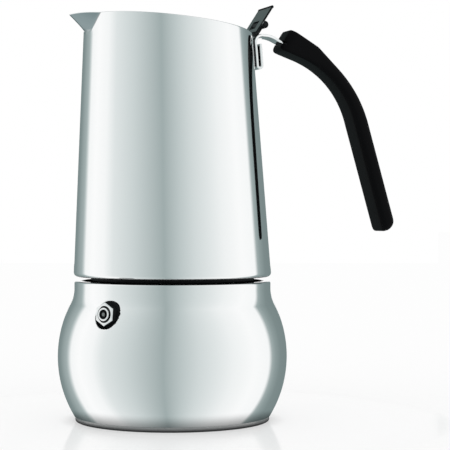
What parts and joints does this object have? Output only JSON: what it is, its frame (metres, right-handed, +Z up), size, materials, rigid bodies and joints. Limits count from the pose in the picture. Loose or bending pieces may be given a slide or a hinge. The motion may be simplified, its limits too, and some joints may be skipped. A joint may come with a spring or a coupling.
{
  "type": "moka pot",
  "caption": "Stove-top moka pot in polished steel with a round-bellied boiler, leaning conical jug, hinged lid and curved black handle",
  "frame": {"origin": "centre of the flat underside of the base disc", "axes": "+Z up along the boiler's axis, +X towards the handle, -X towards the spout"},
  "size_m": [0.1653, 0.1058, 0.1932],
  "materials": {
    "polished_steel": "mirror polished stainless steel",
    "satin_steel": "satin stainless steel",
    "dark_steel": "dark grey steel",
    "black_plastic": "fine matt black heat-resistant plastic",
    "seal_rubber": "pale silicone",
    "valve_brass": "turned brass"
  },
  "bodies": {
    "boiler": {"boiler_shell": "polished_steel", "base_disc": "satin_steel", "valve_bush": "valve_brass", "valve_washer": "satin_steel", "valve_body": "polished_steel", "valve_cap": "polished_steel", "valve_spring": "satin_steel"},
    "plunger": {"valve_plunger": "valve_brass"},
    "funnel": {"funnel_cup": "satin_steel", "funnel_sieve": "satin_steel", "funnel_stem": "satin_steel"},
    "seal": {"gasket": "seal_rubber"},
    "filter": {"filter_plate": "satin_steel"},
    "jug": {"jug_shell": "polished_steel", "jug_floor": "satin_steel", "threaded_collar": "dark_steel", "coffee_column": "satin_steel", "column_cap": "satin_steel", "hinge_bracket": "polished_steel", "handle_strap": "polished_steel", "handle": "black_plastic", "hinge_pin": "polished_steel"},
    "lid": {"lid_disc": "polished_steel", "lid_tab": "dark_steel"}
  },
  "joints": [
    {"name": "valve_press", "type": "slide", "parent": "boiler", "child": "plunger", "axis": [-0.8172, -0.5722, 0.0698], "range_m": [0, 0.0015], "stiffness_N_per_m": 60, "deforming": ["valve_spring"]},
    {"name": "funnel_lift", "type": "slide", "parent": "boiler", "child": "funnel", "axis": [0, 0, 1], "range_m": [0, 0.07]},
    {"name": "jug_lift", "type": "slide", "parent": "funnel", "child": "seal", "axis": [0, 0, 1], "range_m": [0, 0.04]},
    {"name": "jug_rise", "type": "slide", "parent": "seal", "child": "filter", "axis": [0, 0, 1], "range_m": [0, 0.00375]},
    {"name": "jug_turn", "type": "hinge", "parent": "filter", "child": "jug", "pos_m": [0, 0, 0.07], "axis": [0, 0, 1], "range_deg": [0, 450]},
    {"name": "lid_hinge", "type": "hinge", "parent": "jug", "child": "lid", "pos_m": [0.0426, 0, 0.184], "axis": [0, 1, 0], "range_deg": [0, 90]}
  ],
  "couplings": [
    {"joint": "jug_rise", "follows": "jug_turn", "m_per_rad": 0.00047746}
  ]
}
